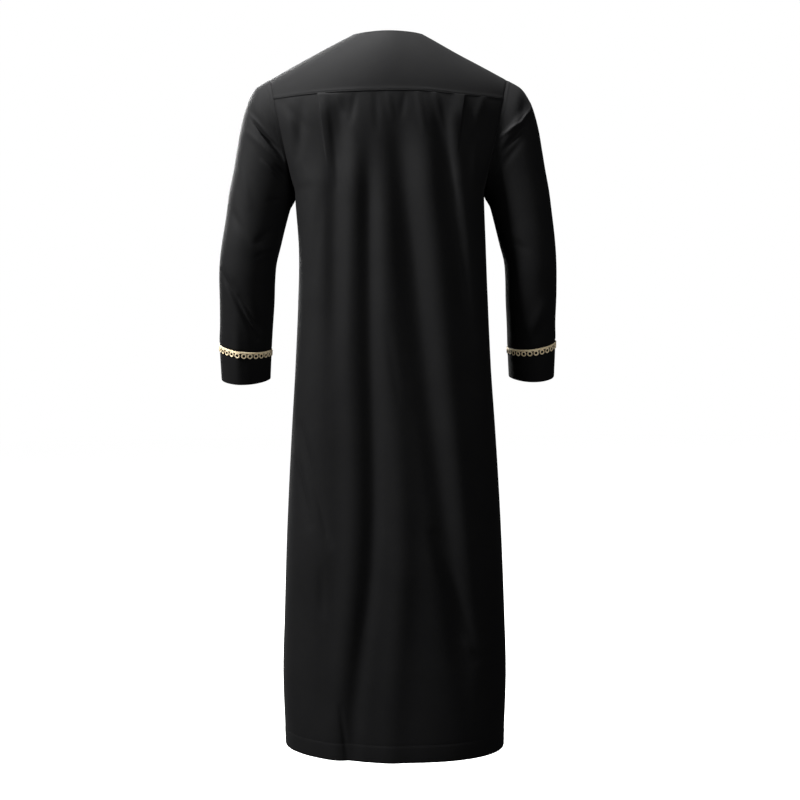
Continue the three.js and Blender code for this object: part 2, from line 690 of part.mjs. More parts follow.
// A place on the front's outer face, by distance from the middle and by the level
function onFront(x, z) {
  const turn = Math.asin((x - sway(z)) / halfWidth(z));
  if (z > BLADE_Z) {
    const point = shoulderPoint(-1, turn, angleAt(Math.sin(turn), z));
    return point.add(new THREE.Vector3(0, -HALF_GAP, 0));
  }
  return bodyPoint(-1, turn, z);
}

function placketTop(x) {
  const across = x / (NECK_SIDE * SHOULDER_REACH);
  return -NECK_FRONT_DROP * Math.sqrt(1 - across * across);
}

function makePlacket() {
  const low = -NECK_FRONT_DROP - PLACKET_LENGTH;
  const pointAt = (x, share) => onFront(x, mix(placketTop(x), low, share));
  const facingAt = (x, share) => facing(pointAt, x, share, -1, FINE_STEP);
  const lifted = (x, share) => pointAt(x, share)
    .addScaledVector(facingAt(x, share), SEAM_GAP + PLACKET_CLOTH);
  const across = range(-PLACKET_HALF_WIDTH, PLACKET_HALF_WIDTH, 4);
  return wall(across, range(0, 1, 14), lifted, facingAt, PLACKET_CLOTH, -1);
}

function makeButton(k) {
  const spacing = (PLACKET_LENGTH - BUTTON_FIRST - BUTTON_LAST) / (BUTTONS - 1);
  const z = -NECK_FRONT_DROP - BUTTON_FIRST - k * spacing;
  const direction = facing(onFront, 0, z, 1, FINE_STEP * 100);
  const lift = 2 * SEAM_GAP + PLACKET_CLOTH + BUTTON_THICK / 2;
  const centre = onFront(0, z).addScaledVector(direction, lift);
  const button = new THREE.CylinderGeometry(BUTTON_RADIUS, BUTTON_RADIUS * 0.9, BUTTON_THICK, 16);
  const turned = new THREE.Quaternion().setFromUnitVectors(new THREE.Vector3(0, 1, 0), direction);
  return button.applyQuaternion(turned).translate(centre.x, centre.y, centre.z);
}

addPiece('yoke', makeYoke(), BLACK_CLOTH);
addPiece('back', makeBack(), BLACK_CLOTH);
addPiece('front', makeFront(), BLACK_CLOTH);
addPiece('placket', makePlacket(), BLACK_CLOTH);
for (let k = 0; k < BUTTONS; k++) addPiece(`button_${k + 1}`, makeButton(k), BLACK_BUTTON);
for (const [hand, side] of [['left', 1], ['right', -1]]) {
  addPiece(`sleeve_${hand}`, makeSleeve(side), BLACK_CLOTH);
  addPiece(`cuff_${hand}`, makeCuff(side), BLACK_CLOTH);
  addPiece(`braid_${hand}`, makeBraid(side), GOLD_BRAID);
}

export default garment;
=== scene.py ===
"""A long black kaftan with gold loop braid on its cuffs, worn and filled out with no wearer."""

import math

import bmesh
import bpy
import numpy as np
from mathutils import Matrix, Vector


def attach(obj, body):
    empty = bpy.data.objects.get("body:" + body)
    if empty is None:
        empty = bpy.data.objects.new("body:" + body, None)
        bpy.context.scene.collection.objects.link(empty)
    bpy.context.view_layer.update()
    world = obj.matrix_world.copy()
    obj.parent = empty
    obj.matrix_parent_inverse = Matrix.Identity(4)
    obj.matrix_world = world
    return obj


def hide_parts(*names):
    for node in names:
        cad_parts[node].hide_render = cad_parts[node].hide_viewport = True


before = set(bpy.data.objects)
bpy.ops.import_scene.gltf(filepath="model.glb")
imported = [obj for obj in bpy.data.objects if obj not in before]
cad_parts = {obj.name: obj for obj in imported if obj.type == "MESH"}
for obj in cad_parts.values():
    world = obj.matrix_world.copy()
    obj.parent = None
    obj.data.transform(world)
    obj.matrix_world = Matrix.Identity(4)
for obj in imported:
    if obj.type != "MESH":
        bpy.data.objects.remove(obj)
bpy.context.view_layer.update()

# Sizes, in millimetres as on the maker's sheet
MM = 0.001
CLOTH = 1.6
CUFF_CLOTH = 2.2
PLACKET_CLOTH = 2.0
SEAM_GAP = 0.3
SEAM_LAP = 1.2

# Shoulders
SHOULDER_DROP = 0.53
SHOULDER_CROWN = 37.5
SHOULDER_ROUND = 25
SHOULDER_REACH = 244
SHOULDER_TAPER = 18

# The right shoulder hangs lower, from a distance off the middle and above a level
RIGHT_LOWER = 5
RIGHT_LOWER_START = 45
RIGHT_LOWER_REACH = 100
RIGHT_LOWER_FROM = -260
RIGHT_LOWER_RISE = 150

# Armholes and the roundness of the body's sections
ARMHOLE_TOP = (226, -83)
ARMPIT = (179, -302)
ARMHOLE_HALF_DEPTH = 62
BLADE_Z = (ARMHOLE_TOP[1] + ARMPIT[1]) / 2
ROUNDNESS = 2.6
ARMPIT_ROUNDNESS = 3.3
HEM_ROUNDNESS = 2.25
ROUNDNESS_FADE = 1040
SEAM_CALM = 0.2
NECK_BLEND = 0.8
SIDE_EDGE_POWER = 6
FINE_STEP = 0.002

# Neck, yoke and hem
NECK_SIDE = 0.282
NECK_BACK_Z = -5
NECK_FRONT_DROP = 84
YOKE_SEAM_Z = -130
SHOULDER_SEAM_FORWARD = 0.16
HEM_Z = -1345
HEM_CALM = 0.6
HEM_CALM_FROM = -1000
HEM_DEEP = 30
HEM_TILT = 0.02

# Front opening
PLACKET_HALF_WIDTH = 17
PLACKET_LENGTH = 310
SLIT_HALF_WIDTH = 1
SLIT_END_Z = -370
BUTTONS = 4
BUTTON_RADIUS = 6
BUTTON_THICK = 2.6
BUTTON_FIRST = 14
BUTTON_LAST = 44

# A row for each level of the body
BODY_COLUMNS = ["level", "half_width", "back", "front", "centre_x"]
BODY = [
    (-83, 186, 108, 108, 0),
    (BLADE_Z, 181, 112, 112, 0),
    (ARMPIT[1], ARMPIT[0], 114, 117, 0),
    (-409, 177, 116, 119, -4.5),
    (-504, 179.5, 117, 120, -4.8),
    (-638, 185.5, 119, 120, -3.8),
    (-753, 193, 121, 122, -3.4),
    (-867, 199.6, 124, 124, -3),
    (-982, 205, 128, 128, -2.5),
    (-1096, 209, 131, 132, -2),
    (-1211, 212, 137, 138, -1),
    (HEM_Z, 207.5, 145, 143, 0),
]

# A row for each hanging fold: from and to are levels, x0 to x3 its place at thirds of its
# length, out its height, half is half its width, fade_in and fade_out its soft ends
FOLD_COLUMNS = ["from", "to", "x0", "x1", "x2", "x3", "out", "half", "fade_in", "fade_out"]
BACK_FOLDS = [
    (-240, HEM_Z, 130, 134, 138, 138, 4, 34, 200, 0),
    (-132, -700, 84, 98, 100, 104, -6, 18, 40, 260),
    (-140, HEM_Z, 58, 74, 72, 108, 6.5, 22, 180, 0),
    (-190, HEM_Z, 38, 36, 36, 78, -6.5, 16, 150, 0),
    (-160, HEM_Z, 10, 3, -16, 8, 8, 26, 260, 0),
    (-130, HEM_Z, -14, -50, -98, -142, -9.5, 24, 120, 260),
    (-145, -1140, -60, -88, -119, -146, 7, 24, 150, 300),
    (-132, -700, -96, -110, -138, -156, -7.5, 18, 70, 240),
    (-130, -620, -112, -129, -148, -160, 4, 14, 60, 200),
]
FRONT_FOLDS = [
    (-330, HEM_Z, 118, 124, 118, 132, 6, 28, 240, 0),
    (-260, HEM_Z, 78, 80, 86, 92, -6, 22, 260, 0),
    (-420, HEM_Z, 38, 44, 40, 50, 7, 26, 260, 0),
    (-500, HEM_Z, 4, -4, 6, 2, -6, 22, 240, 0),
    (-430, HEM_Z, -36, -44, -36, -46, 7, 26, 260, 0),
    (-250, -1250, -80, -72, -88, -96, -7, 22, 250, 260),
    (-340, HEM_Z, -120, -118, -128, -134, 6, 26, 240, 0),
]

# The pleats: place as a share of the armhole's distance, step, reach and length
PLEATS = [(0.605, 6, 0.16, 150), (-0.66, 6, 0.14, 125)]
PLEAT_EDGE = 0.018
PLEAT_AT_SEAM = 0.4
PLEAT_OPENS = 45
PLEAT_TOP_Z = YOKE_SEAM_Z + 1

# A row for each ring of a sleeve, from the armhole to the cuff's edge
RING_COLUMNS = [
    "left_outer", "right_outer", "outer_z", "left_inner", "right_inner", "inner_z",
    "centre_y", "half_depth", "drop",
]
RINGS = [
    (226, 226, -83, 179, 179, -302, 0, 62, 0),
    (241, 241, -91, 179, 179.3, -304.5, 0, 63.5, 0),
    (253, 253, -99.5, 179.2, 180, -307, 0, 64.5, 0),
    (262, 263, -113, 179.6, 181, -309, 0, 65, 0),
    (271, 273, -134, 180.2, 182, -311, 0, 65, 0),
    (278, 280, -157, 181, 183, -313, 0, 65, 0),
    (284, 286, -185, 182, 184.5, -315.5, 0, 65, 0),
    (290, 291, -218, 183.8, 186.3, -318, 0, 64.5, 0),
    (297, 297, -258, 186, 188.5, -322, 0, 64, 0),
    (305.5, 304, -300, 190, 192, -330, 1, 63, 0),
    (311.5, 309, -345, 199, 200, -363, 3, 61.5, 0),
    (318, 313, -385, 208, 208.5, -400, 5, 60, 0),
    (323, 315.5, -420, 216, 216.5, -432, 5, 58, 1.5),
    (325.5, 316.5, -455, 219.5, 219, -465, 3, 57, 4),
    (326, 316.5, -500, 222, 220, -508, -4, 55.5, 9),
    (327.5, 315.5, -546, 226.5, 222.5, -554, -14, 53.5, 12.5),
    (330, 316.5, -582, 230, 224, -594, -23, 51.5, 12.5),
    (329, 315, -652, 234.5, 227.5, -652, -38, 48, 12),
]
CUFF_START = 16
CUFF_END = 17
CUFF_TALL = 65
CAP_LAP_RINGS = 0.4
CREASE_ENDS = 0.12
CREASE_START_RINGS = 2
SLEEVE_CALM = 1.2
HANG_POWER = 0.35

# A row for each crease across a sleeve: side 1 is left, face 1 is behind
CREASE_COLUMNS = ["side", "face", "x0", "z0", "x1", "z1", "out", "half"]
CREASES = [
    (1, 1, 268, -140, 196, -244, -5, 9),
    (1, -1, 264, -150, 200, -236, -4, 10),
    (-1, 1, 270, -138, 204, -228, 4, 8),
    (-1, -1, 266, -146, 204, -240, -4, 10),
    (1, 1, 210, -262, 184, -292, -4, 8),
    (1, 1, 292, -482, 232, -580, -5, 12),
    (1, 1, 216, -400, 240, -424, 4, 9),
    (-1, 1, 304, -500, 256, -580, 4, 14),
    (-1, -1, 300, -470, 250, -560, -4, 12),
    (1, -1, 300, -500, 250, -570, -4, 12),
    (-1, -1, 222, -396, 256, -424, -4, 10),
]
SMALL_CREASES = [
    (1, 1, 251, -174, 198, -242, -6.5, 3),
    (1, 1, 264, -152, 206, -222, 3.5, 4),
    (1, 1, 238, -196, 204, -226, -3, 3),
    (1, 1, 266, -190, 196, -262, 2.4, 6),
    (1, 1, 234, -250, 196, -286, 3, 4.5),
    (1, 1, 282, -230, 262, -330, 1.8, 8),
    (1, 1, 300, -330, 262, -400, -2, 7),
    (1, 1, 222, -322, 206, -318, -2, 5),
    (1, 1, 223, -376, 248, -401, -2.5, 6),
    (1, 1, 222, -411, 248, -426, -2, 4.5),
    (1, 1, 318, -447, 252, -578, -7, 4.5),
    (1, 1, 284, -500, 246, -562, -5, 4),
    (1, 1, 304, -481, 240, -572, 2.5, 7),
    (1, 1, 290, -540, 290, -660, 2.5, 9),
    (-1, 1, 270, -124, 265, -160, 4, 2.8),
    (-1, 1, 265, -150, 242, -186, 4, 2.8),
    (-1, 1, 250, -178, 198, -212, 4, 2.8),
    (-1, 1, 256, -122, 250, -170, -4, 8),
    (-1, 1, 262, -176, 214, -232, -3.5, 5),
    (-1, 1, 245, -217, 207, -265, -2.5, 6),
    (-1, 1, 232, -400, 256, -420, -2, 6),
    (1, -1, 250, -186, 204, -246, -2.5, 5),
    (-1, -1, 252, -182, 206, -232, 3, 5),
    (1, -1, 224, -392, 250, -414, -2, 6),
    (-1, -1, 226, -372, 250, -398, 2.5, 6),
]

# A row for each crease on the body: x0, z0, x1, z1, out, half
BACK_CREASES = [
    (169, -743, 114, -953, -3, 9),
    (179, -804, 154, -924, -2.5, 8),
    (132, -1010, 128, -1080, -2.5, 9),
    (173, -714, 120, -939, -2, 4),
    (177, -810, 146, -924, -2, 4),
    (-75, -943, -150, -1167, -4, 12),
    (-128, -1130, -146, -1160, 2.5, 8),
    (97, -1249, 84, -1345, -2.5, 5),
    (188, -150, 176, -260, 3, 10),
    (160, -150, 166, -240, -2.5, 9),
    (196, -140, 150, -196, -1.6, 7),
    (180, -176, 150, -290, 1.6, 7),
    (108, -146, 92, -300, -1.8, 7),
    (96, -136, 62, -214, 1.8, 7),
    (98, -226, 76, -330, 1.2, 7),
    (60, -134, 70, -190, -1.6, 6),
    (24, -134, 20, -200, -1.6, 7),
    (2, -136, -8, -182, 1.3, 6),
    (-30, -134, -24, -178, -1.5, 6),
    (-52, -133, -66, -206, 1.6, 6),
    (-84, -134, -104, -216, 2.2, 6),
    (-106, -240, -124, -350, -1.6, 6),
    (-142, -150, -160, -212, -1.8, 8),
    (-176, -136, -150, -210, 1.8, 8),
    (-160, -226, -150, -330, 1.6, 7),
    (126, -330, 142, -470, -1.2, 9),
    (8, -560, -14, -700, -1.2, 9),
    (-136, -420, -152, -560, 1.5, 7),
]
FRONT_CREASES = [
    (-160, -760, -110, -940, -3, 9),
    (150, -800, 120, -930, -2.5, 9),
    (70, -960, 130, -1160, -3.5, 12),
    (-100, -1250, -108, -1345, -3, 8),
    (120, -235, 168, -300, -2.5, 10),
    (-116, -230, -166, -306, -2.5, 10),
]

# Seams and hems
SEAM_DIP = 0.9
SEAM_SOFT = 2.4
UNDERARM_DIP = 0.6 * SEAM_DIP
EDGE_DIP = 0.6
CUFF_EDGE_DIP = 1.4 * EDGE_DIP
EDGE_SOFT = 1.2
ALLOWANCE_WIDTH = 5
ALLOWANCE_FADE = 3
ALLOWANCE_HEIGHT = 0.5
CAP_ALLOWANCE_HEIGHT = 0.8 * ALLOWANCE_HEIGHT
HEM_TURNED_HEIGHT = 0.4
HEM_TURNED_FADE = 2
HEM_GROOVE = 0.3
HEM_GROOVE_SOFT = 1.5
STITCH_PITCH = 3.4
STITCH_LENGTH = 2.5
STITCH_THICK = 0.45
STITCH_LIFT = 0.1

# Braid on the cuffs
BRAID_LOOPS = {"left": 27, "right": 25}
BRAID_THICK = 1.4
BRAID_BAND = 4.2
CORD_PLACES = (0.26, 0.72)
CORD_RADIUS = 0.25 * BRAID_BAND
CORD_COLUMNS = 900
CORD_SIDES = 8
BRAID_BELOW_SEAM = 1.2
RING_CENTRE = 8.4
RING_RADIUS = 5.2
HOLE_RADIUS = 2.6
RING_STEPS = 20
RING_SIDES = 8
BRAID_END_TURN = 0.012
CUFF_RADIUS = 50.5
CORD_PITCH = 3.2
CORD_RELIEF = 0.14

# Places of the sewing, from the edge beside it
YOKE_STITCH = 3
NECK_STITCH = 5
EDGE_STITCH = 3

# The neck's sewing spans this share of it, the placket's starts at this share of its length
NECK_STITCH_SHARE = 0.985
PLACKET_STITCH_TOP = 0.01

# Points on a line of sewing
LONG_LINE_POINTS = 400
LINE_POINTS = 200
SHORT_LINE_POINTS = 30

# Buttons: a lathe profile in radii and thicknesses, and the two bars of thread on each
BUTTON_PROFILE = [
    (0, 0.2), (0.62, 0.2), (0.72, 0.42), (0.88, 0.5), (1, 0.3), (1, -0.1), (0.88, -0.5), (0, -0.5),
]
BUTTON_STEPS = 32
THREAD_PLACES = (-1.1, 1.1)
THREAD_HEIGHT = 0.28 * BUTTON_THICK
THREAD_HALF_LENGTH = 1.5

# Columns and rows of the meshes
BACK_COLUMNS = 190
BACK_ROWS = 225
NECK_COLUMNS = 40
SHOULDER_COLUMNS = 58
YOKE_ROWS = 37
CHEST_ROWS = 50
SKIRT_ROWS = 205
SLEEVE_COLUMNS = 144
SLEEVE_ROWS = 240
CUFF_ROWS = 22
PLACKET_COLUMNS = 19
PLACKET_ROWS = 90

# More of them close to seams and edges, in millimetres from there
SEAM_ROWS = [0.7, 1.5, 2.5, 4, 6]
HEM_GROOVE_ROWS = [-1.5, 0, 1.5]
HEM_EDGE_ROWS = [1, 2]
PLACKET_EDGE_COLUMNS = [0.8, 1.6]
PLEAT_COLUMNS = np.linspace(-0.8, 0.8, 7) * PLEAT_EDGE

# The same on sleeves, cuffs and placket, in rings, radians and shares of the length
CAP_ROWS = [0.03, 0.08, 0.15, 0.25]
WRIST_ROWS = [-0.1, -0.06, -0.03]
CUFF_TOP_ROWS = [0.015, 0.03]
CUFF_EDGE_ROWS = [-0.03, -0.015]
UNDERARM_COLUMNS = [-0.08, -0.04, 0.04, 0.08]
PLACKET_END_ROWS = [-0.005, -0.0025]

# Body columns are bunched beyond this share, below this level
SIDE_FROM = 0.7
OPEN_ABOVE = -230

# Lengths down the yoke and the front's chest, which turn millimetres into shares
YOKE_DEEP = 145
CHEST_DEEP = 200

# Cuts in metres, width and length, and their areas where they aren't rectangles
BACK_CUT = (0.62, 1.22)
FRONT_CUT = (0.62, 1.36)
YOKE_CUT = (0.50, 0.19)
SLEEVE_CUT = (0.42, 0.53)
CUFF_CUT = (0.325, 0.065)
PLACKET_CUT = (0.034, 0.312)

# Vertices closer than this are one, in metres
SAME_PLACE = 1e-6

# Colours and finishes
CLOTH_COLOUR = (0.0038, 0.0038, 0.0041)
CLOTH_DARK = (0.0033, 0.0033, 0.0036)
CLOTH_LIGHT = (0.0045, 0.0045, 0.0048)
GOLD = (0.82, 0.68, 0.45)
GOLD_DARK = (0.74, 0.55, 0.3)
GOLD_LIGHT = (0.95, 0.84, 0.6)
THREAD_COLOUR = (0.005, 0.005, 0.0055)
BUTTON_COLOUR = (0.007, 0.007, 0.0075)
FLOOR_COLOUR = (0.5, 0.5, 0.5)
WHITE = (1, 1, 1)
BLACK = (0, 0, 0)
TONE_ENDS = (0.3, 0.7)

# Blender's wave texture has this many waves for each tau of its scale
WAVE_FACTOR = 20

# Stage, light and camera, in metres
FLOOR_Z = -1.5
STAGE_RADIUS = 25
FLOOR_GLOW = 0.98
BACKDROP_GLOW = 1.0
AMBIENT = 0.03
CHEST = (0, 0, -0.6)
SHOULDERS = (0, 0, 0)

# A row for each lamp: name, place, target, size and power in watts
LIGHTS = [
    ("key", (2.8, 1.3, 1.7), CHEST, 0.8, 330),
    ("overhead", (0.45, -0.06, 2.4), SHOULDERS, 0.7, 182),
    ("front key", (1.6, -2.6, 1.2), CHEST, 1.6, 260),
    ("fill", (-1.4, 2.8, 0.4), CHEST, 1.6, 40),
]
CAMERA_PLACE = (-0.0162, 2.3, -0.695)
CAMERA_LENS = 54.18
CAMERA_SENSOR = 36
CAMERA_ROLL = -0.0096


def mix(a, b, share):
    return a + (b - a) * share


def smooth(value):
    t = np.clip(value, 0, 1)
    return t * t * (3 - 2 * t)


def through_four(a, b, c, d, t):
    """A smooth curve through four neighbouring values, between the middle two."""
    slope_in = (c - a) / 2
    slope_out = (d - b) / 2
    t2 = t * t
    t3 = t2 * t
    first = (2 * t3 - 3 * t2 + 1) * b + (t3 - 2 * t2 + t) * slope_in
    return first + (3 * t2 - 2 * t3) * c + (t3 - t2) * slope_out


def at_row(rows, column, place):
    """A table's column at a place between its rows, counted in rows."""
    values = np.array([row[column] for row in rows], dtype=float)
    last = len(values) - 1
    place = np.asarray(place, dtype=float)
    i = np.clip(np.floor(place), 0, last - 1).astype(int)
    near = [values[np.clip(i + k, 0, last)] for k in (-1, 0, 1, 2)]
    return through_four(*near, np.clip(place - i, 0, 1))


def at_level(column, z):
    levels = np.array([row[0] for row in BODY])
    place = np.interp(-np.asarray(z, dtype=float), -levels, np.arange(len(levels)))
    return at_row(BODY, BODY_COLUMNS.index(column), place)


# The body's form, as in the part's own source


def armhole_share(z):
    return (ARMHOLE_TOP[1] - z) / (ARMHOLE_TOP[1] - ARMPIT[1])


def half_width(z):
    above = mix(ARMHOLE_TOP[0], ARMPIT[0], armhole_share(z))
    return np.where(z < ARMPIT[1], at_level("half_width", z), above)


def sway(z):
    return np.where(z < ARMPIT[1], at_level("centre_x", z), 0)


def shoulder_z(s):
    x = abs(s) * (SHOULDER_REACH - SHOULDER_TAPER * abs(s))
    return SHOULDER_CROWN - SHOULDER_DROP * np.hypot(x, SHOULDER_ROUND)


def settled(point):
    """Lowers the right shoulder a little, body and sleeve alike."""
    outwards = smooth((-point[..., 0] - RIGHT_LOWER_START) / RIGHT_LOWER_REACH)
    upwards = smooth((point[..., 2] - RIGHT_LOWER_FROM) / RIGHT_LOWER_RISE)
    lower = RIGHT_LOWER * outwards * upwards
    return point - lower[..., None] * np.array([0, 0, 1])


def folds_out(folds, x, z):
    out = np.zeros_like(x)
    for row in folds:
        fold = dict(zip(FOLD_COLUMNS, row))
        run = np.clip((fold["from"] - z) / (fold["from"] - fold["to"]), 0, 1)
        thirds = [(fold[name],) for name in ("x0", "x1", "x2", "x3")]
        place = at_row(thirds, 0, run * 3)
        starts = smooth((fold["from"] - z) / fold["fade_in"])
        ends = smooth((z - fold["to"]) / fold["fade_out"]) if fold["fade_out"] else 1
        away = (x - place) / fold["half"]
        out += fold["out"] * starts * ends * np.exp(-away * away)
    return out


def pleats_out(s, z):
    out = np.zeros_like(s)
    below = YOKE_SEAM_Z - z
    for place, step, reach, length in PLEATS:
        inward = (place - s) * math.copysign(1, place)
        lifted = smooth(inward / PLEAT_EDGE + 0.5) * (1 - smooth(inward / reach))
        opens = mix(PLEAT_AT_SEAM, 1, smooth(below / PLEAT_OPENS))
        out += step * lifted * opens * (1 - smooth(below / length))
    return out


def out_at(side, s, x, z):
    """How far the cloth stands out from the body's plain form."""
    calm = smooth((1 - abs(s)) / SEAM_CALM)
    hem_calm = mix(1, HEM_CALM, smooth((z - HEM_CALM_FROM) / (HEM_Z - HEM_CALM_FROM)))
    folds = hem_calm * folds_out(BACK_FOLDS if side > 0 else FRONT_FOLDS, x, z)
    pleated = np.where(z < PLEAT_TOP_Z, pleats_out(s, z), 0) if side > 0 else 0
    return calm * (folds + pleated)


def plain_depth(side, s, z):
    middle = at_level("back" if side > 0 else "front", np.minimum(z, BLADE_Z))
    near = np.minimum(1, abs(s))
    share = np.clip(armhole_share(z), 0.5, 1)
    edge = ARMHOLE_HALF_DEPTH * np.sqrt(np.maximum(0, 1 - (2 * share - 1) ** 2))
    open_form = edge + (middle - edge) * (1 - near**ROUNDNESS)
    rise = np.clip((z - BLADE_Z) / (shoulder_z(s) - BLADE_Z), 0, 1)
    arch = open_form * np.sqrt(1 - rise * rise)
    square = mix(ARMPIT_ROUNDNESS, HEM_ROUNDNESS, smooth((ARMPIT[1] - z) / ROUNDNESS_FADE))
    box = middle * (1 - near**square) ** (1 / square)
    closed = np.hypot(box, edge * near**SIDE_EDGE_POWER)
    lower = mix(open_form, closed, smooth((BLADE_Z - z) / (BLADE_Z - ARMPIT[1])))
    return np.where(z > BLADE_Z, arch, lower)


def body_point(side, s, z):
    x = s * half_width(z) + sway(z)
    y = side * (plain_depth(side, s, z) + out_at(side, s, x, z))
    low = smooth((HEM_CALM_FROM - z) / (HEM_CALM_FROM - HEM_Z))
    return settled(np.stack([x, y, z + HEM_TILT * x * low], axis=-1))


def shoulder_point(side, s, angle):
    z = BLADE_Z + (shoulder_z(s) - BLADE_Z) * np.cos(angle)
    flat = 1 - np.minimum(1, abs(s)) ** ROUNDNESS
    middle = at_level("back", BLADE_Z)
    deep = ARMHOLE_HALF_DEPTH + (middle - ARMHOLE_HALF_DEPTH) * flat
    y = side * deep * np.sin(angle)
    return settled(np.stack([s * half_width(z) + sway(z), y, z], axis=-1))


def angle_at(s, z):
    return np.arccos(np.clip((z - BLADE_Z) / (shoulder_z(s) - BLADE_Z), -1, 1))


def top_angle(side, s):
    """The top edge of back and front: the neck opening, and the shoulder seam beside it."""
    across = abs(s) / NECK_SIDE
    beside = -side * SHOULDER_SEAM_FORWARD * smooth((across - 1) / NECK_BLEND)
    dip = np.sqrt(np.maximum(0, 1 - across * across))
    low = NECK_BACK_Z if side > 0 else -NECK_FRONT_DROP
    neck = angle_at(s, mix(shoulder_z(NECK_SIDE), low, dip))
    return np.where(across >= 1, beside, neck)


def lines_out(rows, x, z):
    """Height of the creases at a place, by the distance from each crease's line."""
    out = np.zeros_like(x)
    for x0, z0, x1, z1, height, half in rows:
        run_x = x1 - x0
        run_z = z1 - z0
        share = ((x - x0) * run_x + (z - z0) * run_z) / (run_x * run_x + run_z * run_z)
        share = np.clip(share, 0, 1)
        away = np.hypot(x - x0 - share * run_x, z - z0 - share * run_z) / half
        ends = np.sin(math.pi * mix(CREASE_ENDS, 1 - CREASE_ENDS, share))
        out += height * ends * np.exp(-away * away)
    return out


def creases_out(rows, side, face, x, z):
    """The same for a sleeve, whose rows lie on one side and one face each."""
    out = np.zeros_like(x)
    for behind in (1, -1):
        chosen = []
        for row in rows:
            crease = dict(zip(CREASE_COLUMNS, row))
            if (crease["side"], crease["face"]) == (side, behind):
                x0 = side * crease["x0"]
                x1 = side * crease["x1"]
                chosen.append((x0, crease["z0"], x1, crease["z1"], crease["out"], crease["half"]))
        out += np.where(face == behind, lines_out(chosen, x, z), 0)
    return out


def sleeve_point(side, around, ring):
    hand = "left" if side > 0 else "right"

    def cell(column):
        return at_row(RINGS, RING_COLUMNS.index(column), ring)

    outer_x = cell(f"{hand}_outer")
    inner_x = cell(f"{hand}_inner")
    along = (1 - np.cos(around)) / 2
    lap = (SEAM_GAP + SEAM_LAP) * (1 - smooth(ring / CAP_LAP_RINGS))
    x = side * (mix(outer_x, inner_x, along) + SEAM_GAP - lap)
    hang = cell("drop") * np.sin(around) * abs(np.sin(around)) ** HANG_POWER
    z = mix(cell("outer_z"), cell("inner_z"), along) - hang
    y = cell("centre_y") + np.sin(around) * cell("half_depth")
    point = np.stack([x, y, z], axis=-1)
    middle_x = side * (outer_x + inner_x) / 2
    middle_z = (cell("outer_z") + cell("inner_z")) / 2
    centre = np.stack([middle_x, cell("centre_y"), middle_z], axis=-1)
    away = point - centre
    away /= np.linalg.norm(away, axis=-1, keepdims=True)
    face = np.sign(np.sin(around))
    starts = smooth(ring / CREASE_START_RINGS)
    calm = starts * (1 - smooth(ring - CUFF_START + SLEEVE_CALM))
    wrinkle = creases_out(CREASES, side, face, x, z) * calm
    wrinkle += creases_out(SMALL_CREASES, side, face, x, z) * smooth(ring)
    return settled(point + away * (wrinkle * abs(np.sin(around)))[..., None])


# Sheets of cloth


def bump(distance, width):
    """A soft ridge round zero distance."""
    return np.exp(-((distance / width) ** 2))


class Sheet:
    """A face of cloth: its form, the way out of it, and the fine relief of seams on it.

    Places on it are two numbers, u across and v down, each between its own limits. Sign is 1
    where u, v and the way out turn as x, y and z do, and -1 where they turn the other way."""

    def __init__(self, form, relief, sign, u_limits, v_limits, joined=False):
        self.form = form
        self.relief = relief
        self.sign = sign
        self.u_limits = (-math.inf, math.inf) if joined else u_limits
        self.v_limits = v_limits
        self.joined = joined

    def way_out(self, u, v):
        u_less, u_more = (np.clip(u + d, *self.u_limits) for d in (-FINE_STEP, FINE_STEP))
        v_less, v_more = (np.clip(v + d, *self.v_limits) for d in (-FINE_STEP, FINE_STEP))
        across = self.form(u_more, v) - self.form(u_less, v)
        down = self.form(u, v_more) - self.form(u, v_less)
        out = np.cross(across, down) * self.sign
        return out / np.linalg.norm(out, axis=-1, keepdims=True)

    def at(self, u, v, lift=0.0):
        u, v = np.broadcast_arrays(np.asarray(u, dtype=float), np.asarray(v, dtype=float))
        point = self.form(u, v)
        height = self.relief(u, v, point) + lift
        return point + self.way_out(u, v) * height[..., None]


def finish_piece(piece, material, nodes=()):
    """Gives a piece its material and body, and puts it in place of its CAD nodes."""
    piece.data.materials.append(material)
    piece.data.shade_smooth()
    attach(piece, "root")
    if nodes:
        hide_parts(*nodes)


def as_object(bm, name):
    mesh = bpy.data.meshes.new(name)
    bm.to_mesh(mesh)
    bm.free()
    piece = bpy.data.objects.new(name, mesh)
    bpy.context.scene.collection.objects.link(piece)
    return piece


def cloth(name, sheet, us, vs, cut, leave_out=None, lift=0.0):
    """A grid of cloth over a sheet, with its weave's map in metres of the cut.

    The grid is made flat, one column for each u and one row for each v, and its vertices are
    moved to the sheet. leave_out names the faces of a slit by their columns and rows."""
    bm = bmesh.new()
    bm.loops.layers.uv.new("cut")
    columns = len(us) - 1
    rows = len(vs) - 1
    bmesh.ops.create_grid(bm, x_segments=columns, y_segments=rows, size=1, calc_uvs=True)
    bm.verts.index_update()
    flat = np.array([vert.co.xy for vert in bm.verts])
    column = np.rint((flat[:, 0] + 1) / 2 * columns).astype(int)
    row = np.rint((flat[:, 1] + 1) / 2 * rows).astype(int)
    if sheet.sign < 0:
        column = columns - column
    places = sheet.at(np.asarray(us)[column], np.asarray(vs)[row], lift) * MM
    uv = bm.loops.layers.uv.active
    for face in bm.faces:
        for loop in face.loops:
            loop[uv].uv = (loop[uv].uv[0] * cut[0], loop[uv].uv[1] * cut[1])
    if leave_out:
        gone = []
        for face in bm.faces:
            corners = [vert.index for vert in face.verts]
            if leave_out(min(column[corners]), min(row[corners])):
                gone.append(face)
    for vert, place in zip(bm.verts, places):
        vert.co = place
    if leave_out:
        bmesh.ops.delete(bm, geom=gone, context="FACES")
    if sheet.joined:
        bmesh.ops.remove_doubles(bm, verts=bm.verts, dist=SAME_PLACE)
    return as_object(bm, name)


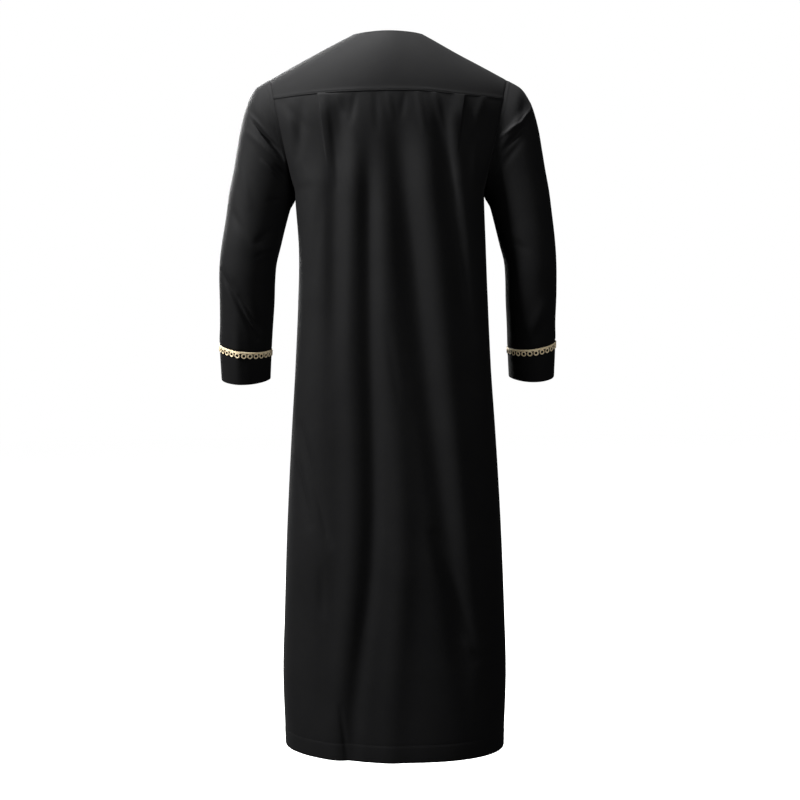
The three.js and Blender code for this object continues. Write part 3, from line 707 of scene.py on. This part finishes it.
def give_wall(piece, thick):
    """Turns the outer face into a wall of cloth, inwards."""
    wall = piece.modifiers.new("cloth", "SOLIDIFY")
    wall.thickness = thick * MM
    wall.offset = -1
    wall.use_rim = True


# Materials


def new_material(name, colour, roughness, specular):
    material = bpy.data.materials.new(name)
    material.use_nodes = True
    shader = material.node_tree.nodes["Principled BSDF"]
    shader.inputs["Base Color"].default_value = (*colour, 1)
    shader.inputs["Roughness"].default_value = roughness
    shader.inputs["Specular IOR Level"].default_value = specular
    return material, shader


def add_node(material, kind, **settings):
    node = material.node_tree.nodes.new(kind)
    for key, value in settings.items():
        if key in node.inputs:
            node.inputs[key].default_value = value
        else:
            setattr(node, key, value)
    return node


def weave(material, shader, pitch, depth, strength):
    """Crossed threads in the cut's own map, as fine ridges."""
    link = material.node_tree.links.new
    cut = add_node(material, "ShaderNodeUVMap", uv_map="cut")
    scale = math.tau / (WAVE_FACTOR * pitch)
    threads = [
        add_node(material, "ShaderNodeTexWave", bands_direction=way, Scale=scale)
        for way in ("X", "Y")
    ]
    crossed = add_node(material, "ShaderNodeMath", operation="MULTIPLY")
    for socket, thread in zip(crossed.inputs, threads):
        link(cut.outputs["UV"], thread.inputs["Vector"])
        link(thread.outputs["Fac"], socket)
    ridges = add_node(material, "ShaderNodeBump", Strength=strength, Distance=depth)
    link(crossed.outputs["Value"], ridges.inputs["Height"])
    link(ridges.outputs["Normal"], shader.inputs["Normal"])


def uneven_tone(material, shader, dark, light, scale):
    """A slow change of tone over the cloth, as dye and light wear leave it."""
    link = material.node_tree.links.new
    place = add_node(material, "ShaderNodeTexCoord")
    cloud = add_node(material, "ShaderNodeTexNoise", Scale=scale, Detail=3.0, Roughness=0.6)
    tone = add_node(material, "ShaderNodeValToRGB")
    for element, end, colour in zip(tone.color_ramp.elements, TONE_ENDS, (dark, light)):
        element.position = end
        element.color = (*colour, 1)
    link(place.outputs["Object"], cloud.inputs["Vector"])
    link(cloud.outputs["Fac"], tone.inputs["Fac"])
    link(tone.outputs["Color"], shader.inputs["Base Color"])


def make_black_cloth():
    material, shader = new_material("black cloth", CLOTH_COLOUR, roughness=0.75, specular=0.09)
    shader.inputs["Sheen Weight"].default_value = 0.012
    shader.inputs["Sheen Roughness"].default_value = 0.5
    uneven_tone(material, shader, CLOTH_DARK, CLOTH_LIGHT, scale=14.0)
    weave(material, shader, pitch=0.0009, depth=0.00012, strength=0.35)
    return material


def make_gold_braid():
    material, shader = new_material("gold braid", GOLD, roughness=0.5, specular=0.4)
    shader.inputs["Metallic"].default_value = 0.1
    shader.inputs["Sheen Weight"].default_value = 0.2
    uneven_tone(material, shader, GOLD_DARK, GOLD_LIGHT, scale=260.0)
    return material


def make_thread():
    return new_material("black thread", THREAD_COLOUR, roughness=0.6, specular=0.12)[0]


def make_button_black():
    return new_material("black button", BUTTON_COLOUR, roughness=0.35, specular=0.15)[0]


black_cloth = make_black_cloth()
gold_braid = make_gold_braid()
black_thread = make_thread()
button_black = make_button_black()


# Spacing of the columns and rows


def with_close(values, near, offsets):
    """Evenly spaced values with a few more close to one place."""
    return np.unique(np.concatenate([values, near + np.asarray(offsets, dtype=float)]))


def neck_columns():
    """Shares across the body from -1 at the right armhole to 1 at the left one."""
    neck = NECK_SIDE * np.sin(np.linspace(-math.pi / 2, math.pi / 2, NECK_COLUMNS + 1))
    shoulder = np.linspace(NECK_SIDE, 1, SHOULDER_COLUMNS + 1)[1:]
    return np.concatenate([-shoulder[::-1], neck, shoulder])


def share_across(across, z):
    """Bunches the outer columns where the body closes at a side seam, and not above it."""
    near = abs(across)
    rest = np.clip((near - SIDE_FROM) / (1 - SIDE_FROM), 0, 1)
    closed = SIDE_FROM + (1 - SIDE_FROM) * (1 - (1 - rest) ** 3)
    bunched = np.where(near > SIDE_FROM, closed, near)
    share = mix(near, bunched, smooth((OPEN_ABOVE - z) / (OPEN_ABOVE - ARMPIT[1])))
    return np.copysign(share, across)


# The body's sheets


def back_form(across, down):
    return body_point(1, share_across(across, -down), -down)


def yoke_form(across, down):
    angle = mix(top_angle(1, across), angle_at(across, YOKE_SEAM_Z - SEAM_LAP), down)
    return shoulder_point(1, across, angle)


def front_form(across, down):
    angle = mix(top_angle(-1, across), math.pi / 2, np.minimum(down, 1))
    over = shoulder_point(-1, across, angle)
    z = mix(BLADE_Z, HEM_Z, np.maximum(down, 1) - 1)
    below = body_point(-1, share_across(across, z), z)
    return np.where((down > 1)[..., None], below, over)


def seam_dip(distance, deep=SEAM_DIP):
    return -deep * bump(distance, SEAM_SOFT)


def edge_dip(distance, deep=EDGE_DIP):
    return -deep * bump(distance, EDGE_SOFT)


def allowance(distance, high=ALLOWANCE_HEIGHT):
    """The cloth turned under beside a seam lifts the face a little."""
    return high * (1 - smooth((distance - ALLOWANCE_WIDTH) / ALLOWANCE_FADE))


def from_row(form, across, row, point):
    return np.linalg.norm(point - form(across, np.full_like(across, row)), axis=-1)


def from_side(form, across, down, point):
    return np.linalg.norm(point - form(np.copysign(1.0, across), down), axis=-1)


def hem_relief(above):
    """The turned hem lies a little proud below the groove of its stitches."""
    past = above - HEM_DEEP
    under = 1 - smooth(past / HEM_TURNED_FADE + 0.5)
    groove = HEM_GROOVE * bump(past, HEM_GROOVE_SOFT)
    return HEM_TURNED_HEIGHT * under - groove + edge_dip(above)


def back_relief(across, down, point):
    x, z = point[..., 0], point[..., 2]
    relief = lines_out(BACK_CREASES, x, z) + hem_relief(-HEM_Z - down)
    relief += seam_dip(from_side(back_form, across, down, point))
    return relief + seam_dip(YOKE_SEAM_Z - z)


def yoke_relief(across, down, point):
    low = from_row(yoke_form, across, 1.0, point)
    top = from_row(yoke_form, across, 0.0, point)
    relief = allowance(low) + edge_dip(top)
    return relief + seam_dip(from_side(yoke_form, across, down, point))


def front_relief(across, down, point):
    x, z = point[..., 0], point[..., 2]
    relief = lines_out(FRONT_CREASES, x, z) * (down > 1)
    relief += hem_relief((2 - down) * (BLADE_Z - HEM_Z))
    relief += edge_dip(from_row(front_form, across, 0.0, point))
    return relief + seam_dip(from_side(front_form, across, down, point))


def sleeve_form(side):
    return lambda around, ring: sleeve_point(side, around, ring)


def sleeve_relief(side):
    form = sleeve_form(side)

    def relief(around, ring, point):
        cap = from_row(form, around, 0.0, point)
        wrist = from_row(form, around, float(CUFF_START), point)
        below = np.linalg.norm(point - form(np.full_like(around, math.pi), ring), axis=-1)
        raised = allowance(cap, CAP_ALLOWANCE_HEIGHT)
        return raised + seam_dip(wrist) + seam_dip(below, UNDERARM_DIP)

    return relief


def cuff_relief(side):
    form = sleeve_form(side)

    def relief(around, ring, point):
        top = from_row(form, around, float(CUFF_START), point)
        low = from_row(form, around, float(CUFF_END), point)
        return edge_dip(top) + edge_dip(low, CUFF_EDGE_DIP)

    return relief


back_top = -YOKE_SEAM_Z
back_sheet = Sheet(back_form, back_relief, 1, (-1, 1), (back_top, -HEM_Z))
yoke_sheet = Sheet(yoke_form, yoke_relief, 1, (-1, 1), (0, 1))
front_sheet = Sheet(front_form, front_relief, -1, (-1, 1), (0, 2))


def make_back():
    us = np.linspace(-1, 1, BACK_COLUMNS + 1)
    for place, *_ in PLEATS:
        us = with_close(us, place, PLEAT_COLUMNS)
    vs = np.linspace(back_top, -HEM_Z, BACK_ROWS)
    vs = with_close(vs, back_top, SEAM_ROWS)
    vs = with_close(vs, -HEM_Z - HEM_DEEP, HEM_GROOVE_ROWS)
    vs = with_close(vs, -HEM_Z, -np.array(HEM_EDGE_ROWS))
    piece = cloth("back_panel", back_sheet, us, vs, BACK_CUT)
    give_wall(piece, CLOTH)
    finish_piece(piece, black_cloth, ["back"])


def make_yoke():
    us = neck_columns()
    vs = np.linspace(0, 1, YOKE_ROWS)
    vs = with_close(vs, 0, np.array(SEAM_ROWS) / YOKE_DEEP)
    vs = with_close(vs, 1, -np.array(SEAM_ROWS) / YOKE_DEEP)
    piece = cloth("yoke_panel", yoke_sheet, us, vs, YOKE_CUT)
    give_wall(piece, CLOTH)
    finish_piece(piece, black_cloth, ["yoke"])


def make_front():
    slit = SLIT_HALF_WIDTH / float(half_width(BLADE_Z))
    us = neck_columns()
    us = us[abs(us) > slit / 2]
    us = np.unique(np.concatenate([us, [-slit, slit]]))
    upper = np.linspace(0, 1, CHEST_ROWS)
    upper = with_close(upper, 0, np.array(SEAM_ROWS[:3]) / CHEST_DEEP)
    hem_rows = np.concatenate([HEM_DEEP - np.array(HEM_GROOVE_ROWS), HEM_EDGE_ROWS])
    lower = np.linspace(1, 2, SKIRT_ROWS)[1:]
    lower = with_close(lower, 2, -hem_rows / (BLADE_Z - HEM_Z))
    vs = np.unique(np.concatenate([upper, lower]))
    slit_column = int(np.searchsorted(us, 0)) - 1
    levels = front_form(np.zeros_like(vs), vs)[:, 2]

    def in_slit(column, row):
        return column == slit_column and levels[row + 1] > SLIT_END_Z

    piece = cloth("front_panel", front_sheet, us, vs, FRONT_CUT, leave_out=in_slit)
    give_wall(piece, CLOTH)
    finish_piece(piece, black_cloth, ["front"])


def sleeve_columns():
    us = np.linspace(0, math.tau, SLEEVE_COLUMNS + 1)
    return with_close(us, math.pi, UNDERARM_COLUMNS)


def make_sleeve(hand, side):
    limits = (0, CUFF_START)
    sheet = Sheet(sleeve_form(side), sleeve_relief(side), -side, None, limits, joined=True)
    vs = with_close(np.linspace(*limits, SLEEVE_ROWS), 0, CAP_ROWS)
    vs = with_close(vs, CUFF_START, WRIST_ROWS)
    piece = cloth(f"sleeve_{hand}_cloth", sheet, sleeve_columns(), vs, SLEEVE_CUT)
    give_wall(piece, CLOTH)
    finish_piece(piece, black_cloth, [f"sleeve_{hand}"])


def make_cuff(hand, side):
    limits = (CUFF_START, CUFF_END)
    sheet = Sheet(sleeve_form(side), cuff_relief(side), -side, None, limits, joined=True)
    vs = with_close(np.linspace(*limits, CUFF_ROWS), CUFF_END, CUFF_EDGE_ROWS)
    vs = with_close(vs, CUFF_START, CUFF_TOP_ROWS)
    piece = cloth(f"cuff_{hand}_cloth", sheet, sleeve_columns(), vs, CUFF_CUT)
    give_wall(piece, CUFF_CLOTH)
    finish_piece(piece, black_cloth, [f"cuff_{hand}"])
    return sheet


# Braid


def braid_frame(sheet, around, down):
    """A place on a cuff under the braid, with the ways along it, down it and out of it."""
    ring = CUFF_START + (BRAID_BELOW_SEAM + down) / CUFF_TALL
    point = sheet.at(around, ring)
    out = sheet.way_out(around, ring)
    along = sheet.at(around + FINE_STEP, ring) - sheet.at(around - FINE_STEP, ring)
    along /= np.linalg.norm(along, axis=-1, keepdims=True)
    return point, along, np.cross(along, out) * np.sign(-sheet.sign), out


def add_cord(bm, sheet, down):
    """A twisted cord laid round the cuff, as a tube whose two strands wind round it."""
    ends = (math.pi + BRAID_END_TURN, 3 * math.pi - BRAID_END_TURN)
    made = bmesh.ops.create_grid(bm, x_segments=CORD_COLUMNS, y_segments=CORD_SIDES, size=1)
    made = made["verts"]
    flat = np.array([vert.co.xy for vert in made])
    around = mix(ends[0], ends[1], (flat[:, 0] + 1) / 2)
    turn = (flat[:, 1] + 1) * math.pi
    point, along, downwards, out = braid_frame(sheet, around, down)
    length = (around - ends[0]) * CUFF_RADIUS
    strand = 1 + CORD_RELIEF * np.cos(2 * turn + math.tau * length / CORD_PITCH)
    reach = (CORD_RADIUS * strand)[:, None]
    flat_share = BRAID_THICK / (2 * CORD_RADIUS)
    centre = point + out * (SEAM_GAP + CORD_RADIUS * flat_share)
    outwards = np.cos(turn)[:, None] * out * flat_share
    places = centre + reach * (outwards + np.sin(turn)[:, None] * downwards)
    for vert, place in zip(made, places * MM):
        vert.co = place


def make_braid(hand, side, cuff_sheet):
    bm = bmesh.new()
    for share in CORD_PLACES:
        add_cord(bm, cuff_sheet, BRAID_BAND * share)
    bmesh.ops.remove_doubles(bm, verts=bm.verts, dist=SAME_PLACE)
    loops = BRAID_LOOPS[hand]
    pitch = 2 * (math.pi - BRAID_END_TURN) / loops
    thick = (RING_RADIUS - HOLE_RADIUS) / 2
    ring = one_ring(RING_RADIUS - thick, thick)
    flatter = Matrix.Diagonal((1, 1, BRAID_THICK / (2 * thick), 1))
    bmesh.ops.transform(ring, matrix=flatter, verts=ring.verts)
    for k in range(loops):
        around = np.array([math.pi + BRAID_END_TURN + (k + 0.5) * pitch])
        point, along, downwards, out = (v[0] for v in braid_frame(cuff_sheet, around, RING_CENTRE))
        centre = (point + out * (SEAM_GAP + BRAID_THICK / 2)) * MM
        place = Matrix((along, downwards, out)).transposed().to_4x4()
        copy = ring.copy()
        bmesh.ops.transform(copy, matrix=Matrix.Translation(centre) @ place, verts=copy.verts)
        join_to(bm, copy)
    ring.free()
    bmesh.ops.recalc_face_normals(bm, faces=bm.faces)
    piece = as_object(bm, f"braid_{hand}_cords")
    finish_piece(piece, gold_braid, [f"braid_{hand}"])


def one_ring(radius, thick):
    """A small ring of thick cord, spun from a circle."""
    ring = bmesh.new()
    circle = bmesh.ops.create_circle(ring, segments=RING_SIDES, radius=thick * MM)["verts"]
    turned = Matrix.Rotation(math.pi / 2, 4, "X")
    outwards = Matrix.Translation((radius * MM, 0, 0))
    bmesh.ops.transform(ring, matrix=outwards @ turned, verts=circle)
    bmesh.ops.spin(
        ring, geom=list(ring.verts) + list(ring.edges), cent=(0, 0, 0), axis=(0, 0, 1),
        angle=math.tau, steps=RING_STEPS, use_merge=True,
    )
    bmesh.ops.recalc_face_normals(ring, faces=ring.faces)
    return ring


def join_to(bm, part):
    """Adds one bmesh to another and frees it."""
    mesh = bpy.data.meshes.new("part")
    part.to_mesh(mesh)
    part.free()
    bm.from_mesh(mesh)
    bpy.data.meshes.remove(mesh)


# The front opening


def on_front(x, z):
    share = (x - sway(z)) / half_width(z)
    over = shoulder_point(-1, share, angle_at(share, z))
    return np.where((z > BLADE_Z)[..., None], over, body_point(-1, share, z))


def placket_form(x, down):
    across = x / (NECK_SIDE * SHOULDER_REACH)
    top = -NECK_FRONT_DROP * np.sqrt(1 - across * across)
    return on_front(x, mix(top, -NECK_FRONT_DROP - PLACKET_LENGTH, down))


def placket_relief(x, down, point):
    side = PLACKET_HALF_WIDTH - abs(x)
    length = NECK_FRONT_DROP + PLACKET_LENGTH + point[..., 2]
    top = from_row(placket_form, x, 0.0, point)
    return edge_dip(side) + edge_dip(length) + edge_dip(top)


placket_limits = ((-PLACKET_HALF_WIDTH, PLACKET_HALF_WIDTH), (0, 1))
placket_sheet = Sheet(placket_form, placket_relief, -1, *placket_limits)


def make_placket():
    us = np.linspace(*placket_limits[0], PLACKET_COLUMNS)
    us = with_close(us, PLACKET_HALF_WIDTH, -np.array(PLACKET_EDGE_COLUMNS))
    us = with_close(us, -PLACKET_HALF_WIDTH, PLACKET_EDGE_COLUMNS)
    vs = with_close(np.linspace(0, 1, PLACKET_ROWS), 1, PLACKET_END_ROWS)
    lift = SEAM_GAP + PLACKET_CLOTH
    piece = cloth("placket_panel", placket_sheet, us, vs, PLACKET_CUT, lift=lift)
    give_wall(piece, PLACKET_CLOTH)
    finish_piece(piece, black_cloth, ["placket"])


def button_places():
    spacing = (PLACKET_LENGTH - BUTTON_FIRST - BUTTON_LAST) / (BUTTONS - 1)
    for k in range(BUTTONS):
        down = np.array([(BUTTON_FIRST + k * spacing) / PLACKET_LENGTH])
        lift = 2 * SEAM_GAP + PLACKET_CLOTH + BUTTON_THICK / 2
        point = placket_sheet.at(np.array([0.0]), down, lift)[0]
        out = placket_sheet.way_out(np.array([0.0]), down)[0]
        yield k + 1, Vector(point * MM), Vector(out)


def make_button(number, centre, out):
    bm = bmesh.new()
    verts = [
        bm.verts.new((r * BUTTON_RADIUS * MM, 0, h * BUTTON_THICK * MM)) for r, h in BUTTON_PROFILE
    ]
    edges = [bm.edges.new(pair) for pair in zip(verts, verts[1:])]
    bmesh.ops.spin(
        bm, geom=verts + edges, cent=(0, 0, 0), axis=(0, 0, 1), angle=math.tau,
        steps=BUTTON_STEPS, use_merge=True,
    )
    bmesh.ops.remove_doubles(bm, verts=bm.verts, dist=SAME_PLACE)
    bmesh.ops.recalc_face_normals(bm, faces=bm.faces)
    place = Matrix.Translation(centre) @ out.to_track_quat("Z", "X").to_matrix().to_4x4()
    bmesh.ops.transform(bm, matrix=place, verts=bm.verts)
    piece = as_object(bm, f"shirt_button_{number}")
    finish_piece(piece, button_black, [f"button_{number}"])
    threads = bmesh.new()
    thick = STITCH_THICK * MM
    for x in THREAD_PLACES:
        bar = Matrix.Translation((x * MM, 0, THREAD_HEIGHT * MM))
        size = Matrix.Diagonal((thick, THREAD_HALF_LENGTH * MM, thick, 1))
        bmesh.ops.create_uvsphere(
            threads, u_segments=8, v_segments=6, radius=1, matrix=place @ bar @ size
        )
    finish_piece(as_object(threads, f"button_thread_{number}"), black_thread)


# Sewing


def add_stitches(bm, sheet, us, vs, lift=0.0):
    """Short raised stitches along a line on a sheet, each a small long bead."""
    line = sheet.at(us, vs, lift + STITCH_LIFT)
    out = sheet.way_out(us, vs)
    steps = np.linalg.norm(np.diff(line, axis=0), axis=1)
    run = np.concatenate([[0], np.cumsum(steps)])
    for middle in np.arange(STITCH_PITCH, run[-1] - STITCH_PITCH / 2, STITCH_PITCH):
        ends = [
            np.array([np.interp(middle + half, run, line[:, axis]) for axis in range(3)])
            for half in (-STITCH_LENGTH / 2, STITCH_LENGTH / 2)
        ]
        along = Vector(ends[1] - ends[0]).normalized()
        up = Vector([np.interp(middle, run, out[:, axis]) for axis in range(3)]).normalized()
        beside = up.cross(along).normalized()
        turn = Matrix((along, beside, along.cross(beside))).transposed().to_4x4()
        size = Matrix.Diagonal((STITCH_LENGTH / 2, STITCH_THICK / 2, STITCH_THICK / 2, 1))
        centre = Matrix.Translation(Vector((ends[0] + ends[1]) / 2) * MM)
        bmesh.ops.create_uvsphere(
            bm, u_segments=6, v_segments=4, radius=MM, matrix=centre @ turn @ size
        )


def finish_stitches(bm, name):
    finish_piece(as_object(bm, name), black_thread)


def make_stitches():
    across = np.linspace(-1, 1, LONG_LINE_POINTS)
    hem = bmesh.new()
    add_stitches(hem, back_sheet, across, np.full_like(across, -HEM_Z - HEM_DEEP))
    rise = HEM_DEEP / (BLADE_Z - HEM_Z)
    add_stitches(hem, front_sheet, across, np.full_like(across, 2 - rise))
    finish_stitches(hem, "stitches_hem")
    yoke = bmesh.new()
    add_stitches(yoke, yoke_sheet, across, np.full_like(across, 1 - YOKE_STITCH / YOKE_DEEP))
    finish_stitches(yoke, "stitches_yoke")
    neck = bmesh.new()
    turn = np.linspace(-math.pi / 2, math.pi / 2, LINE_POINTS)
    neck_across = NECK_SIDE * np.sin(turn) * NECK_STITCH_SHARE
    add_stitches(neck, yoke_sheet, neck_across, np.full_like(turn, NECK_STITCH / YOKE_DEEP))
    add_stitches(neck, front_sheet, neck_across, np.full_like(turn, NECK_STITCH / CHEST_DEEP))
    finish_stitches(neck, "stitches_neck")
    placket = bmesh.new()
    inset = PLACKET_HALF_WIDTH - EDGE_STITCH
    down = np.linspace(PLACKET_STITCH_TOP, 1 - EDGE_STITCH / PLACKET_LENGTH, LINE_POINTS)
    lift = SEAM_GAP + PLACKET_CLOTH
    for x in (-inset, inset):
        add_stitches(placket, placket_sheet, np.full_like(down, x), down, lift)
    low = np.linspace(-inset, inset, SHORT_LINE_POINTS)
    add_stitches(placket, placket_sheet, low, np.full_like(low, down[-1]), lift)
    finish_stitches(placket, "stitches_placket")


make_back()
make_yoke()
make_front()
for hand, side in (("left", 1), ("right", -1)):
    make_sleeve(hand, side)
    cuff_sheet = make_cuff(hand, side)
    make_braid(hand, side, cuff_sheet)
make_placket()
for number, centre, out in button_places():
    make_button(number, centre, out)
make_stitches()


# Floor, light and camera


def bright_material(name, colour, glow):
    material, shader = new_material(name, colour, roughness=0.9, specular=0.1)
    shader.inputs["Emission Color"].default_value = (*WHITE, 1)
    shader.inputs["Emission Strength"].default_value = glow
    return material


def as_stage(bm, name, material):
    """A stage piece that is seen but throws no light of its own on the cloth."""
    piece = as_object(bm, name)
    piece.data.materials.append(material)
    piece.visible_diffuse = False
    piece.visible_glossy = False
    piece.visible_shadow = False


def make_stage():
    floor = bmesh.new()
    bmesh.ops.create_circle(floor, cap_ends=True, segments=96, radius=STAGE_RADIUS)
    bmesh.ops.translate(floor, verts=floor.verts, vec=(0, 0, FLOOR_Z))
    as_stage(floor, "floor", bright_material("pale floor", FLOOR_COLOUR, FLOOR_GLOW))
    dome = bmesh.new()
    bmesh.ops.create_uvsphere(dome, u_segments=48, v_segments=24, radius=STAGE_RADIUS)
    bmesh.ops.reverse_faces(dome, faces=dome.faces)
    as_stage(dome, "backdrop", bright_material("white backdrop", BLACK, BACKDROP_GLOW))


def add_light(name, place, target, size, power):
    data = bpy.data.lights.new(name, "AREA")
    data.shape = "DISK"
    data.size = size
    data.energy = power
    light = bpy.data.objects.new(name, data)
    light.location = place
    light.rotation_mode = "QUATERNION"
    light.rotation_quaternion = (Vector(target) - Vector(place)).to_track_quat("-Z", "Y")
    bpy.context.scene.collection.objects.link(light)


def light_studio():
    world = bpy.data.worlds.new("studio")
    world.use_nodes = True
    world.node_tree.nodes["Background"].inputs["Strength"].default_value = AMBIENT
    world.node_tree.nodes["Background"].inputs["Color"].default_value = (*WHITE, 1)
    bpy.context.scene.world = world
    for name, place, target, size, power in LIGHTS:
        add_light(name, place, target, size, power)
    bpy.context.scene.view_settings.view_transform = "Standard"


def place_camera():
    data = bpy.data.cameras.new("camera")
    data.lens = CAMERA_LENS
    data.sensor_width = CAMERA_SENSOR
    camera = bpy.data.objects.new("camera", data)
    level = Matrix.Rotation(math.pi, 4, "Z") @ Matrix.Rotation(math.pi / 2, 4, "X")
    roll = Matrix.Rotation(CAMERA_ROLL, 4, "Z")
    camera.matrix_world = Matrix.Translation(CAMERA_PLACE) @ level @ roll
    bpy.context.scene.collection.objects.link(camera)
    bpy.context.scene.camera = camera


make_stage()
light_studio()
place_camera()
